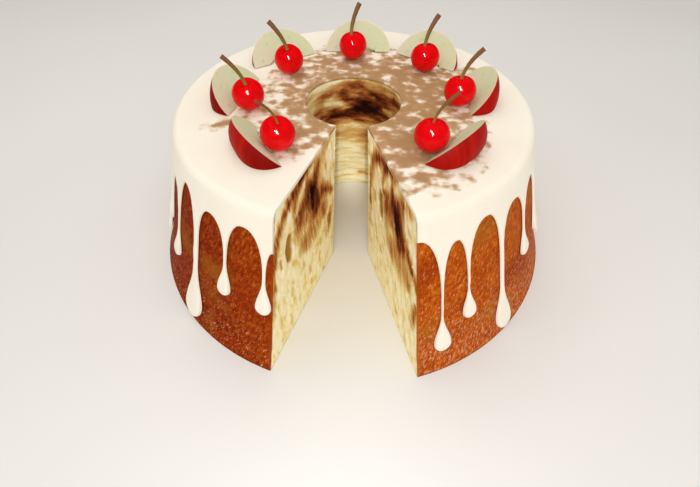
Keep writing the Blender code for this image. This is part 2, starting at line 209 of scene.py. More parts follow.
# Swirls of cinnamon sugar at the left cut: how deeply each colours the crumb (below 0 it stays pale),
# then its line as distance from the ring's axis, height and half width, in mm. The right cut, the
# slice's other side, shows them the other way round.
CUT_SWIRLS = [
    (0.28, [(50, 49, 11), (62, 45, 13), (74, 46, 10)]), (0.24, [(42, 87, 6), (50, 82, 9), (54, 76, 9)]),
    (0.26, [(76, 72, 9), (79, 58, 7)]), (0.14, [(33, 89, 4), (39, 86, 4)]),
    (0.24, [(40, 36, 5), (44, 26, 5)]),
    (0.24, [(82, 86, 6), (92, 79, 6), (99, 70, 5), (104, 60, 4)]), (0.22, [(108, 48, 4), (114, 31, 4)]),
    (0.26, [(60, 89, 7), (76, 87, 6)]), (0.20, [(41.8, 76, 2.2), (41.8, 74, 2.2)]),
    (0.17, [(93.4, 31, 2.6), (93.6, 27, 2.6)]), (0.17, [(70.6, 24, 3), (71, 19, 3)]),
    (0.28, [(70.6, 11, 2.2), (70.6, 8, 2.0)]), (0.20, [(86.2, 15, 1.8), (86.4, 12, 1.8)]),
    (0.24, [(98.2, 59, 2.4), (98.4, 54, 2.2)]), (0.14, [(57, 21, 3), (58, 15, 3)]),
    (0.34, [(51, 82, 4), (54, 77, 5), (55, 70, 7)]), (0.38, [(68, 68, 4.4), (69, 60, 4.4)]),
    (0.42, [(58, 66, 7.5), (48, 63.5, 6.4), (41, 58.5, 4.6), (35, 53, 3.4)]),
    (0.28, [(47.6, 51, 4), (47, 44.5, 3.6)]), (0.36, [(37.6, 41.5, 2.4), (39.6, 36, 2.6), (41.4, 30, 2.0)]),
    (0.32, [(66, 74, 7), (72, 70, 8), (76, 64, 6)]), (0.12, [(72, 49, 4.4), (73, 42, 4)]),
    (0.10, [(64, 54, 4.4), (65, 43, 3.6)]),
    (0.42, [(60, 89.5, 3.4), (69.4, 88.6, 4.4), (74.2, 84.8, 4.4), (78.4, 78, 3.6), (79.6, 70, 3)]),
    (0.38, [(79, 86, 3), (85, 83, 4), (90, 80.4, 3.2), (93.6, 78, 3), (97.6, 75, 2.8), (101.2, 68, 2.2),
            (105, 59, 1.8), (108, 47, 1.6)]),
    (0.35, [(53, 60, 6), (60, 56, 6)]), (0.36, [(63, 80, 5), (63.5, 72, 6)]),
    (0.45, [(56.5, 79, 4), (59, 75, 7), (60, 64, 6.5)]), (0.40, [(44.4, 61, 2.6), (41.4, 57, 2.6)]),
    (0.40, [(54, 59.5, 4.4), (57.4, 56, 4)]), (0.45, [(65.6, 89, 3), (70, 88, 4), (73.6, 84, 3)]),
    (0.30, [(64.6, 79, 3.6), (63.4, 71, 4)]), (0.28, [(84.4, 84, 2.4), (87, 81, 2.2)]),
    (0.82, [(58.8, 73, 4.2), (59.6, 63.5, 5.0)]),
    (-0.75, [(67.4, 83, 3), (70.4, 79, 3.4), (75.4, 76, 3), (79, 72.5, 2.4)]),
    (-0.5, [(57.4, 85, 2.6), (60.6, 81.6, 2.4)]), (-0.4, [(85, 78, 3.4), (84, 68, 3.4)]),
]
# The air hole at the right cut, pressed in and darkened inside with painted shade: distance, height and half
# width in mm.
AIR_HOLE = [(87.2, 64.0, 3.0), (88.6, 59.0, 4.4), (89.6, 52.2, 3.2)]
# Where the right cut shows what the left cut does: the sum of both distances, less as the ring narrows.
MIRROR_AT_FOOT = 164.4
MIRROR_NARROWING = 0.407
# The same round the tube's wall: millimetres round it from the back, height, and half width.
TUBE_SWIRLS = [
    (0.08, [(-20, 10, 30), (20, 30, 30)]), (0.14, [(-36, 84, 8), (-24, 80, 7)]),
    (0.30, [(4, 87, 4), (27, 86, 4)]),
    (0.24, [(-75, 51, 9), (-12, 49, 8), (10, 48, 9), (75, 51, 9)]), (0.12, [(6, 46, 6), (7, 30, 5)]),
    (0.28, [(-20, 74, 8), (-6, 72, 7)]), (0.28, [(-7, 85.6, 4), (2, 86.4, 4)]),
    (0.28, [(28, 84, 5), (75, 80, 8)]), (0.12, [(-75, 80, 8), (-40, 84, 7)]),
    (0.28, [(3, 11, 2), (7, 10, 1.8)]), (0.15, [(-25, 81, 4), (-21.6, 76, 4)]),
    (0.44, [(-19, 80.4, 4.6), (-8, 81.6, 5), (3, 83, 6), (10, 79, 4.6)]),
    (0.42, [(10, 79, 5), (23, 80, 4.6), (33, 81, 5), (60, 76, 7), (75, 75, 7)]),
    (0.42, [(-75, 62, 7), (-45, 63, 7), (-30, 66, 4.4)]), (0.42, [(-26, 69, 5), (-15, 64, 7)]),
    (0.45, [(-14, 63, 5.6), (-4, 62, 5.4), (8, 61, 5), (19, 61.4, 5)]),
    (0.36, [(19, 74, 6), (28, 72, 6), (50, 68, 8), (75, 68, 8)]), (0.40, [(0, 68, 9), (20, 66, 8)]),
    (0.50, [(3, 76.4, 4.4), (18.4, 75, 4.4)]), (0.50, [(-13, 66.4, 4.4), (5, 65.4, 5.6), (19, 67, 4.8)]),
    (0.32, [(-22, 64.6, 4), (-12.6, 59, 4.4)]), (0.35, [(4, 79.4, 2.8), (20, 79.6, 2.8)]),
    (0.45, [(-8.4, 79, 3.4), (-1.6, 70, 4.8)]), (0.40, [(26, 80.6, 2.4), (31, 80, 2.4)]),
    (0.40, [(40, 69, 5), (58, 72, 5)]), (0.40, [(-60, 66, 5), (-46, 63, 5)]),
    (0.30, [(-2, 60.6, 3.4), (4, 59, 2.8)]),
    (0.80, [(1, 71, 4.4), (9, 71.4, 6), (17, 70, 5)]), (0.55, [(0, 66.4, 3), (16, 66.6, 3.4)]),
    (-0.80, [(-18.4, 74, 3.4), (-14, 73.4, 4), (-8.6, 72, 3)]),
    (-0.55, [(6.4, 79, 1.8), (11.4, 77.4, 1.6)]), (-0.65, [(18.6, 71.2, 2.6), (23.4, 70.2, 3)]),
    (-0.5, [(-6.6, 68.6, 1.8), (-2, 68, 1.6)]),
]
# How streaks run: far along their way, close across it.
STREAK_ALONG_CUT = 0.16
STREAK_ALONG_HOLE = 0.22
STREAK_UP_HOLE = 0.62
STREAK_ALONG_CRUST = 0.60
CRUST_SLANT = 0.45
# Each surface reads its own part of the streaks' pattern, this many mm into it.
RIGHT_CUT_PATTERN = 40.0
CRUST_PATTERN = 90.0
TUBE_PATTERN = 140.0
ON_SURFACE_MM = 0.05


def blend(low, high, share):
    return low + (high - low) * share


def around(bearing, radius, height):
    """The point at a bearing (radians, clockwise from the back) and radius about the ring's axis."""
    return Vector((radius * math.sin(bearing), AXIS_Y + radius * math.cos(bearing), height))


def hole_radius(height):
    return blend(HOLE_RADIUS_BASE, HOLE_RADIUS_TOP, height / CAKE_HEIGHT)


def wall_radius(height):
    """The crust's radius: a cone that flares a little at its foot."""
    flare = np.maximum(0.0, 1.0 - height / FOOT_FLARE)
    return blend(BASE_RADIUS, TOP_RADIUS, height / CAKE_HEIGHT) - ICING_ON_SIDE * (1.0 - flare)


RIM_TURN = math.pi / 2 - WALL_LEAN
RIM_RADIUS = wall_radius(CAKE_TOP) - RIM_ROUNDING * math.tan(RIM_TURN / 2)
RIM_LOW = CAKE_TOP - RIM_ROUNDING * (1.0 - math.sin(WALL_LEAN))


def outer_radius(height):
    """The sponge's outline: its wall, and the round edge where the top begins."""
    if height <= RIM_LOW:
        return wall_radius(height)
    drop = height - CAKE_TOP + RIM_ROUNDING
    return RIM_RADIUS + math.sqrt(max(0.0, RIM_ROUNDING**2 - drop**2))


def sheet(mesh_data, rows):
    """Faces between rows of corners."""
    for low, high in zip(rows, rows[1:]):
        for index in range(len(low) - 1):
            mesh_data.faces.new((low[index], low[index + 1], high[index + 1], high[index]))


def stitch(mesh_data, fine, coarse):
    """Triangles between two lines of corners that run side by side, one with more corners."""
    near, far = 0, 0
    while near < len(fine) - 1 or far < len(coarse) - 1:
        next_near = (near + 1) / (len(fine) - 1)
        next_far = (far + 1) / (len(coarse) - 1)
        if next_near <= next_far + 1e-9 and near < len(fine) - 1:
            mesh_data.faces.new((fine[near], fine[near + 1], coarse[far]))
            near += 1
        else:
            mesh_data.faces.new((fine[near], coarse[far + 1], coarse[far]))
            far += 1


def mesh_from(name, mesh_data, merge=1e-6):
    """The finished mesh: welded, with its faces pointing outwards."""
    bmesh.ops.remove_doubles(mesh_data, verts=mesh_data.verts, dist=merge)
    bmesh.ops.dissolve_degenerate(mesh_data, edges=mesh_data.edges, dist=merge)
    bmesh.ops.recalc_face_normals(mesh_data, faces=mesh_data.faces)
    mesh = bpy.data.meshes.new(name)
    mesh_data.to_mesh(mesh)
    mesh_data.free()
    mesh.shade_smooth()
    return mesh


def new_piece(name, mesh, *surfaces):
    for surface in surfaces:
        mesh.materials.append(surface)
    item = bpy.data.objects.new(name, mesh)
    bpy.context.scene.collection.objects.link(item)
    return item


def mark(mesh, name, values):
    """Stores one number per corner for the materials to read."""
    layer = mesh.attributes.new(name, "FLOAT", "POINT")
    layer.data.foreach_set("value", np.asarray(values, np.float32))


def corners_of(mesh):
    flat = np.zeros(len(mesh.vertices) * 3, np.float32)
    mesh.vertices.foreach_get("co", flat)
    return flat.reshape(-1, 3).astype(float)


def along_stroke(across, up, stroke):
    """1 on the line of a stroke, fading softly to 0.2 at its half width. All in millimetres."""
    best = np.zeros(len(across))
    for (x0, y0, w0), (x1, y1, w1) in zip(stroke, stroke[1:]):
        run, rise = x1 - x0, y1 - y0
        share = np.clip(((across - x0) * run + (up - y0) * rise) / (run**2 + rise**2), 0.0, 1.0)
        away = np.hypot(across - x0 - share * run, up - y0 - share * rise)
        best = np.maximum(best, np.exp(-1.5 * (away / blend(w0, w1, share)) ** 2))
    return best


def ring_mesh():
    """The ring: rows of corners turned through 324 degrees, closed at each end by a fine cut face."""
    mesh_data = bmesh.new()
    start = CUT_ANGLE / 2 - math.pi
    wall_rows = CRUST_ROWS - RIM_STEPS
    crust_heights = [RIM_LOW * row / wall_rows for row in range(wall_rows)]
    leans = [blend(WALL_LEAN, math.pi / 2, step / RIM_STEPS) for step in range(RIM_STEPS + 1)]
    crust_heights += [CAKE_TOP - RIM_ROUNDING * (1.0 - math.sin(lean)) for lean in leans]
    hole_heights = [CAKE_TOP * row / HOLE_ROWS for row in range(HOLE_ROWS + 1)]
    crusts, holes = [], []
    for step in range(1, ROUND_STEPS):
        bearing = start + (2 * math.pi - CUT_ANGLE) * step / ROUND_STEPS
        for rings, heights, reach in (
            (crusts, crust_heights, outer_radius),
            (holes, hole_heights, hole_radius),
        ):
            ring = [around(bearing, reach(height), height) for height in heights]
            rings.append([mesh_data.verts.new(point) for point in ring])
    sheet(mesh_data, crusts)
    sheet(mesh_data, holes)
    for end in (0, -1):
        sheet(mesh_data, [[ring[end] for ring in crusts], [ring[end] for ring in holes]])
    for bearing, crust, hole in ((start, crusts[0], holes[0]), (-start, crusts[-1], holes[-1])):
        rows = []
        for row in range(CUT_ROWS + 1):
            height = CAKE_TOP * row / CUT_ROWS
            line = []
            for column in range(CUT_COLUMNS + 1):
                radius = blend(hole_radius(height), outer_radius(height), column / CUT_COLUMNS)
                line.append(mesh_data.verts.new(around(bearing, radius, height)))
            rows.append(line)
        sheet(mesh_data, rows)
        stitch(mesh_data, [line[-1] for line in rows], crust)
        stitch(mesh_data, [line[0] for line in rows], hole)
        stitch(mesh_data, rows[0], [hole[0], crust[0]])
        stitch(mesh_data, rows[-1], [hole[-1], crust[-1]])
    return mesh_from("sponge", mesh_data)


def swirl_depth(across, up, swirls):
    """How deep the crumb is coloured, from 0 for plain crumb to near 1 where dark swirls overlap."""
    depth = np.zeros(len(across))
    for strength, stroke in swirls:
        near = along_stroke(across, up, stroke)
        depth += near * strength * (1.0 - depth if strength > 0 else depth)
    return depth


def mark_sponge(mesh):
    """Marks where the sponge is crust, where swirls or an air hole show, and how its crumb is streaked."""
    spots = corners_of(mesh) * TO_MM
    x, y, height = spots[:, 0], spots[:, 1] - AXIS_Y * TO_MM, spots[:, 2]
    radius = np.hypot(x, y)
    bearing = np.arctan2(x, y)
    from_cut = np.abs(radius * np.sin(np.abs(bearing) - math.pi + CUT_ANGLE / 2))
    at_cut = from_cut < ON_SURFACE_MM
    at_hole = (radius < hole_radius(height / TO_MM) * TO_MM + ON_SURFACE_MM) & ~at_cut
    across = np.where(x < 0, radius, MIRROR_AT_FOOT - MIRROR_NARROWING * height - radius)
    round_hole = bearing * HOLE_RADIUS_TOP * TO_MM
    swirls = np.where(at_cut, swirl_depth(across, height, CUT_SWIRLS), 0.0)
    swirls[at_hole] = swirl_depth(round_hole, height, TUBE_SWIRLS)[at_hole]
    depth = wall_radius(height / TO_MM) * TO_MM - radius
    flat = (height > CAKE_TOP * TO_MM - 0.01) | (height < 0.01)

    def laid_out(sideways, upwards, into):
        return np.stack([sideways, upwards, np.broadcast_to(into, len(x))], axis=1)

    slanted = bearing * BASE_RADIUS * TO_MM + height * CRUST_SLANT
    cut_pattern = np.where(x < 0, 0.0, RIGHT_CUT_PATTERN)
    grain = laid_out(slanted, height * STREAK_ALONG_CRUST, CRUST_PATTERN)
    grain[at_hole] = laid_out(round_hole * STREAK_ALONG_HOLE, height * STREAK_UP_HOLE, TUBE_PATTERN)[at_hole]
    grain[at_cut] = laid_out(across, height * STREAK_ALONG_CUT, cut_pattern)[at_cut]
    mark(mesh, "swirl", swirls)
    mark(mesh, "air_hole", np.where(at_cut, along_stroke(across, height, AIR_HOLE), 0.0))
    mark(mesh, "crust", np.clip(1.0 - depth / (CRUST_THICKNESS * TO_MM), 0.0, 1.0))
    mark(mesh, "relief", np.where(flat, 0.0, 1.0))
    layer = mesh.attributes.new("grain", "FLOAT_VECTOR", "POINT")
    layer.data.foreach_set("vector", (grain / TO_MM).astype(np.float32).ravel())


def new_growth(name, **inputs):
    """An empty Geometry Nodes tree that gives out a shape, and the sockets of its named inputs."""
    tree = bpy.data.node_groups.new(name, "GeometryNodeTree")
    for label, kind in inputs.items():
        tree.interface.new_socket(label.replace("_", " "), in_out="INPUT", socket_type="NodeSocket" + kind)
    tree.interface.new_socket("Geometry", in_out="OUTPUT", socket_type="NodeSocketGeometry")
    return tree, add(tree, "NodeGroupInput").outputs


def end_growth(tree, shape, surface):
    """Ends a tree: its shape made one real mesh, in its material."""
    solid = add(tree, "GeometryNodeRealizeInstances", [shape])
    coloured = add(tree, "GeometryNodeSetMaterial", {"Geometry": solid, "Material": surface})
    add(tree, "NodeGroupOutput", [coloured])
    return tree


def crumb_relief_tree(surface):
    """Presses pores into the crumb and shallow dents and pits into the crust, along each normal."""
    tree, given = new_growth("crumb relief", Geometry="Geometry", Pore_spacing="Float", Pore_depth="Float",
                             Dent_spacing="Float", Dent_depth="Float", Air_hole_depth="Float")
    place = add(tree, "GeometryNodeInputPosition")
    upright = add(tree, "VectorMath", [place, (1.0, 1.0, 0.55)], operation="MULTIPLY")
    frequency = add(tree, "Math", [1.0, given["Pore spacing"]], operation="DIVIDE")
    cells = add(tree, "TexVoronoi", {"Vector": upright, "Scale": frequency})
    cell_kind = add(tree, "SeparateXYZ", [cells.outputs["Color"]])
    pore_size = add(tree, "Math", [cell_kind, 0.5], operation="MULTIPLY")
    pore = add(tree, "MapRange", [cells, pore_size, 0.08, 0.0, 1.0], interpolation_type="SMOOTHSTEP")
    rough = add(tree, "TexNoise", {"Vector": upright, "Scale": 700.0, "Detail": 3.0})
    ragged = add(tree, "Math", [rough, 0.8, pore], operation="MULTIPLY_ADD")
    crumb = add(tree, "Math", [ragged, given["Pore depth"]], operation="MULTIPLY")
    dent_frequency = add(tree, "Math", [1.0, given["Dent spacing"]], operation="DIVIDE")
    dents = add(tree, "TexNoise",
                {"Vector": place, "Scale": dent_frequency, "Detail": 5.0, "Roughness": 0.6})
    crust_dent = add(tree, "Math", [dents, given["Dent depth"]], operation="MULTIPLY")
    crust, relief, air_hole = [
        add(tree, "GeometryNodeInputNamedAttribute", {"Name": name}, data_type="FLOAT")
        for name in ("crust", "relief", "air_hole")
    ]
    either = add(tree, "Mix", [crust, crumb, crust_dent])
    hollow = add(tree, "Math", [air_hole, given["Air hole depth"], either], operation="MULTIPLY_ADD")
    depth = add(tree, "Math", [hollow, relief], operation="MULTIPLY")
    inwards = add(tree, "Math", [depth, -1.0], operation="MULTIPLY")
    push = add(tree, "VectorMath", [add(tree, "GeometryNodeInputNormal"), inwards], operation="SCALE")
    pressed = add(tree, "GeometryNodeSetPosition", {"Geometry": given["Geometry"], "Offset": push})
    return end_growth(tree, pressed, surface)


def grown(carrier, tree, **sizes):
    """The plain mesh that a geometry tree makes of a carrier, with the tree's own inputs set."""
    modifier = carrier.modifiers.new("growth", "NODES")
    modifier.node_group = tree
    for item in tree.interface.items_tree:
        if item.in_out == "INPUT" and item.name.replace(" ", "_") in sizes:
            modifier[item.identifier] = sizes[item.name.replace(" ", "_")]
    depsgraph = bpy.context.evaluated_depsgraph_get()
    shown = carrier.evaluated_get(depsgraph)
    made = bpy.data.meshes.new_from_object(shown, preserve_all_data_layers=True, depsgraph=depsgraph)
    carrier.modifiers.remove(modifier)
    return made


def baked_sponge():
    """Baked coffee cake: dry crumb drawn up into pale yellow and golden streaks, and a brown crust.

    Cinnamon sugar melted into soft brown streaks that run the same way. The crust is finely flecked,
    deeper brown towards the left, with pale painted glints that are thickest at its foot on the right.
    Crumb patches are about 5 mm, streaks of sugar 2.4 mm, the crust's mottling 2 mm, its glints 1.2 mm.
    """
    made, tree, shader = new_material("baked coffee cake", IOR=1.3, Specular_IOR_Level=0.06)
    place = add(tree, "TexCoord").outputs["Object"]
    sideways, _, height = add(tree, "SeparateXYZ", [place]).outputs
    streaked = add(tree, "Attribute", attribute_name="grain").outputs["Vector"]
    swirl, crust, air_hole = [add(tree, "Attribute", attribute_name=name).outputs["Fac"]
                              for name in ("swirl", "crust", "air_hole")]

    rounder = add(tree, "VectorMath", [streaked, (1.0, 2.6, 1.0)], operation="MULTIPLY")
    patches = add(tree, "TexNoise", {"Vector": rounder, "Scale": 200.0, "Detail": 4.0, "Roughness": 0.6})
    crumb = add(tree, "ValToRGB", [patches],
                [(0.34, "#E4C87A"), (0.42, "#F5E2A2"), (0.50, "#FDF2C6"), (0.66, "#FFF9DC")])
    # The air hole is painted a darker gold than the crumb round it. This is painted shade inside its hollow,
    # which the relief also presses in.
    hole_shade = add(tree, "MapRange", [air_hole, 0.08, 0.6, 0.0, 0.95], interpolation_type="SMOOTHSTEP")
    crumb_and_hole_shade = add(tree, "Mix", [hole_shade, crumb, paint("#A06C0C")], data_type="RGBA")

    threads = add(tree, "TexNoise", {"Vector": streaked, "Scale": 420.0, "Detail": 5.0, "Roughness": 0.68})
    torn = add(tree, "Math", [threads, 1.5, -0.75], operation="MULTIPLY_ADD")
    present = add(tree, "MapRange", [swirl, 0.0, 0.5, 0.1, 1.0])
    sugar = add(tree, "Math", [torn, present, swirl], operation="MULTIPLY_ADD")
    melted = add(tree, "ValToRGB", [sugar],
                 [(0.16, "#E2C27A"), (0.30, "#CE9C5A"), (0.46, "#AE6A36"), (0.62, "#86441E"),
                  (0.80, "#54240E"), (0.96, "#200802")])
    soaked = add(tree, "MapRange", [sugar, 0.05, 0.22], interpolation_type="SMOOTHSTEP")
    marbled = add(tree, "Mix", [soaked, crumb_and_hole_shade, melted], data_type="RGBA")

    mottling = add(tree, "TexNoise", {"Vector": streaked, "Scale": 520.0, "Detail": 5.0, "Roughness": 0.75})
    browned, deeper_brown = [
        add(tree, "ValToRGB", [mottling], list(zip((0.34, 0.45, 0.54, 0.63, 0.74), codes)))
        for codes in (("#8E3200", "#AC4604", "#BC580C", "#C87426", "#DCA468"),
                      ("#5E1000", "#7C2000", "#923200", "#A44C0C", "#BA7A3A"))
    ]
    # The crust turns a deeper brown towards the left.
    to_the_right = add(tree, "MapRange", [sideways, -0.07, 0.03])
    baked = add(tree, "Mix", [to_the_right, deeper_brown, browned], data_type="RGBA")
    heat = add(tree, "TexNoise", {"Vector": place, "Scale": 34.0, "Detail": 2.0})
    golden = add(tree, "MapRange", [heat, 0.54, 0.66, 0.0, 0.45])
    hot = add(tree, "MapRange", [heat, 0.46, 0.34, 0.0, 0.55])
    # Pale #E0A684 flecks, thickest at the crust's foot on the right, are painted glints: painted highlights
    # of light caught by the bumpy crust.
    flecks = add(tree, "TexNoise", {"Vector": streaked, "Scale": 820.0, "Detail": 2.0, "Roughness": 0.6})
    at_foot = add(tree, "MapRange", [height, 0.012, 0.048, 0.53, 0.62])
    on_left = add(tree, "MapRange", [sideways, 0.0, 0.02, 0.07, 0.0])
    level = add(tree, "Math", [at_foot, on_left], operation="ADD")
    above = add(tree, "Math", [flecks, level], operation="SUBTRACT")
    painted_glints = add(tree, "MapRange", [above, 0.0, 0.09, 0.0, 0.6])
    for share, code in ((golden, "#A4661A"), (hot, "#8C2600"), (painted_glints, "#E0A684")):
        baked = add(tree, "Mix", [share, baked, paint(code)], data_type="RGBA")

    whole = add(tree, "Mix", [crust, marbled, baked], data_type="RGBA")
    gloss = add(tree, "MapRange", [crust, 0.0, 1.0, 0.92, 0.62])
    grain = add(tree, "TexNoise", {"Vector": place, "Scale": 620.0, "Detail": 3.0, "Roughness": 0.65})
    bump = add(tree, "Bump", {"Height": grain, "Strength": 0.3, "Distance": 0.0005})
    connect(tree, shader, {"Base Color": whole, "Roughness": gloss, "Normal": bump})
    return made


plain_ring = ring_mesh()
mark_sponge(plain_ring)
coffee_cake = baked_sponge()
sponge = new_piece("sponge", plain_ring, coffee_cake)
sponge.data = grown(sponge, crumb_relief_tree(coffee_cake), Pore_spacing=0.0032, Pore_depth=0.0004,
                    Dent_spacing=0.009, Dent_depth=0.0006, Air_hole_depth=0.0022)
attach(sponge, root)
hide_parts("cake")

# The icing: vanilla icing poured over the top while it still ran. It set as one smooth skin that
# rounds over at its edges, and the drips stopped where they cooled, fattest at their tips.
ICING_IN_BULB = 0.0022
ICING_EDGE = 0.0013
# Each drip that the photo shows: degrees from the cut's middle, its tip's height, and the half width
# of its bulb and its neck. Each gap between two: degrees, the height of its top, and its rounding.
DRIPS_LEFT = [(57.3, 0.0265, 0.0042, 0.0005), (45.3, 0.0025, 0.0075, 0.0017), (32.9, 0.035, 0.0041, 0.0008),
              (20.5, 0.035, 0.0042, 0.0008)]
DRIPS_RIGHT = [(24.9, 0.0125, 0.0048, 0.0005), (33.0, 0.0265, 0.0040, 0.0005),
               (45.6, 0.0025, 0.0062, 0.0014), (58.5, 0.0335, 0.0041, 0.0005), (71.3, 0.031, 0.0040, 0.0006)]
GAPS_LEFT = [(62.3, 0.0715, 0.022), (51.6, 0.0790, 0.030), (38.9, 0.0758, 0.020), (26.7, 0.0785, 0.025),
             (18.0, 0.0705, 0.020)]
GAPS_RIGHT = [(18.0, 0.0785, 0.034), (29.1, 0.0738, 0.032), (39.0, 0.0788, 0.027), (51.5, 0.0757, 0.020),
              (64.3, 0.0750, 0.022)]
HIDDEN_DRIPS = 20
LONG_DRIP_TIPS = (0.003, 0.010)
LONG_BULBS = (0.0060, 0.0074)
SHORT_DRIP_TIPS = (0.024, 0.038)
SHORT_BULBS = (0.0039, 0.0046)
HIDDEN_NECK = 0.2
GAP_HEIGHTS = (0.071, 0.079)
GAP_ROUNDINGS = (0.020, 0.032)
UNEVEN_SPACING = 1.1
NECK_ABOVE_TIP = 5.0
NECK_SHARE = 0.55
BULB_TAPER = 1.3
BULB_SWELL = 1.3
GAP_ROUNDNESS = 2.3
DRIP_COLUMNS = 14
TOP_ROWS = 28
RIM_ROWS = 6
WALL_ROWS = 5
GAP_ROWS = 8
ROUNDING_ROWS = 14
NECK_ROWS = 6
TAPER_ROWS = 10
BULB_ROWS = 8
OUTLINE_FINENESS = 6
LIP_STEPS = 6
ABOVE_GAP = 0.004
TOP_WAVES = 0.00035
TOP_WAVE_SIZE = 0.022
TOP_RIPPLE_SIZE = 0.009
SIDE_RIPPLE = 0.12
SIDE_RIPPLE_SIZE = 0.006
# How far from the ring's axis cinnamon fell: bearing in degrees from the back, and millimetres. It
# thins out over its last stretch, and lies thinner on the left.
DUST_REACH = [(-180, 62), (-160, 62), (-148, 70), (-128, 66), (-112, 66), (-102, 66), (-92, 56), (-72, 62),
              (-45, 64), (-20, 76), (10, 70), (24, 74), (45, 76), (62, 88), (80, 76), (100, 74), (125, 84),
              (138, 92), (150, 92), (161, 90), (180, 84)]
DUST_FADE = [(0, 0.0), (3, 0.30), (12, 0.54), (22, 0.78), (34, 0.93)]
DUST_ON_LEFT = 0.93
DUST_SMEAR = [(-74, -30, 5), (-64, -25, 4.4)]
SMEAR_COVER = 0.93
# The pattern's level above which a share of the icing is covered, from none of it to nearly all.
COVER_LEVELS = [(0.0, 0.95), (0.1, 0.635), (0.5, 0.5), (0.8, 0.42), (0.95, 0.35)]


def all_drips():
    """Every drip round the ring, clockwise from the cut's left face, and the gaps between them."""
    chance = random.Random(11)
    drips = [(angle - 180.0, *sizes) for angle, *sizes in reversed(DRIPS_LEFT)]
    gaps = [(angle - 180.0, *sizes) for angle, *sizes in reversed(GAPS_LEFT)]
    first = gaps[-1][0]
    last = 180.0 - GAPS_RIGHT[-1][0]
    pitch = (last - first) / (HIDDEN_DRIPS + 1)
    hidden = []
    for index in range(HIDDEN_DRIPS):
        tips, bulbs = (LONG_DRIP_TIPS, LONG_BULBS) if index % 3 == 1 else (SHORT_DRIP_TIPS, SHORT_BULBS)
        middle = first + pitch * (index + 0.5) + chance.uniform(-UNEVEN_SPACING, UNEVEN_SPACING)
        bulb = chance.uniform(*bulbs)
        hidden.append((middle, chance.uniform(*tips), bulb, HIDDEN_NECK * bulb))
        edge = first + pitch * (index + 1) + chance.uniform(-UNEVEN_SPACING, UNEVEN_SPACING)
        gaps.append((edge, chance.uniform(*GAP_HEIGHTS), chance.uniform(*GAP_ROUNDINGS)))
    drips += hidden + [(180.0 - angle, *sizes) for angle, *sizes in reversed(DRIPS_RIGHT)]
    gaps += [(180.0 - angle, *sizes) for angle, *sizes in reversed(GAPS_RIGHT)]
    return drips, gaps


def neck_height(length, bulb):
    """How far above its tip a drip is as thin as it gets."""
    return min(NECK_ABOVE_TIP * bulb, NECK_SHARE * length)


def drip_half_width(above_tip, length, reach, rounding, bulb, neck):
    """Half the drip's width: a round bulb, a thin neck, then sides that round out to the gap's top."""
    neck_at = neck_height(length, bulb)
    if above_tip < bulb:
        return math.sqrt(max(0.0, bulb**2 - (bulb - above_tip) ** 2))
    if above_tip < neck_at:
        fade = 0.5 + 0.5 * math.cos(math.pi * (above_tip - bulb) / (neck_at - bulb))
        return neck + (bulb - neck) * fade**BULB_TAPER
    rise = min(1.0, max(0.0, 1.0 - (length - above_tip) / rounding))
    return reach - (reach - neck) * (1.0 - rise**GAP_ROUNDNESS) ** (1.0 / GAP_ROUNDNESS)


def on_drip(drip, gap, start, rounding, across, level):
    """Bearing and height of a point level metres above a drip's tip."""
    middle, tip, bulb, neck = drip
    turn = math.radians(gap - middle)
    reach = abs(turn) * wall_radius(start)
    half = drip_half_width(level, start - tip, reach, rounding, bulb, neck)
    aside = math.copysign(half * abs(across) / wall_radius(tip + level), turn)
    return math.radians(middle) + aside, tip + level


def drip_levels(length, rounding, bulb, times=1):
    """Heights above the tip, from the gap's top down, closest where the outline curves most."""
    neck_at = neck_height(length, bulb)
    turn = math.pi / 2 / times
    levels = [length - rounding * (1.0 - math.cos(turn * row / ROUNDING_ROWS))
              for row in range(ROUNDING_ROWS * times)]
    levels += [blend(length - rounding, neck_at, row / NECK_ROWS) for row in range(NECK_ROWS)]
    levels += [blend(neck_at, bulb, row / TAPER_ROWS / times) for row in range(TAPER_ROWS * times)]
    levels += [bulb * (1.0 - math.sin(turn * row / BULB_ROWS)) for row in range(BULB_ROWS * times + 1)]
    return levels


def icing_line(drip, gap_left, gap_right, across):
    """One line down the icing: the cake's surface under it, the way it faces, and the full thickness."""
    middle, tip, bulb = drip[:3]
    gap, gap_height, gap_rounding = gap_left if across < 0 else gap_right
    start = blend(max(gap_left[1], gap_right[1]), gap_height, abs(across))
    rounding = blend((gap_left[2] + gap_right[2]) / 2, gap_rounding, abs(across))
    rounding = min(rounding, start - tip - neck_height(start - tip, bulb))
    bearing = math.radians(middle) + math.radians(gap - middle) * abs(across)
    lip = hole_radius(CAKE_HEIGHT) + ICING_ON_TOP / 2
    line = [(bearing, blend(lip, RIM_RADIUS, row / TOP_ROWS), CAKE_TOP, math.pi / 2, ICING_ON_TOP)
            for row in range(TOP_ROWS)]
    for row in range(RIM_ROWS + 1):
        lean = blend(math.pi / 2, WALL_LEAN, row / RIM_ROWS)
        radius = RIM_RADIUS + RIM_ROUNDING * math.cos(lean)
        height = CAKE_TOP - RIM_ROUNDING * (1.0 - math.sin(lean))
        line.append((bearing, radius, height, lean, blend(ICING_ON_TOP, ICING_ON_SIDE, row / RIM_ROWS)))
    heights = [blend(RIM_LOW, start + ABOVE_GAP, row / WALL_ROWS) for row in range(1, WALL_ROWS + 1)]
    heights += [start + ABOVE_GAP * (1.0 - row / GAP_ROWS) ** 2 for row in range(1, GAP_ROWS)]
    line += [(bearing, wall_radius(height), height, WALL_LEAN, ICING_ON_SIDE) for height in heights]
    for level in drip_levels(start - tip, rounding, bulb):
        spot, height = on_drip(drip, gap, start, rounding, across, level)
        swell = math.exp(-(((level - bulb) / (BULB_SWELL * bulb)) ** 2))
        thick = blend(ICING_ON_SIDE, ICING_IN_BULB, swell)
        line.append((spot, wall_radius(height), height, WALL_LEAN, thick))
    return line


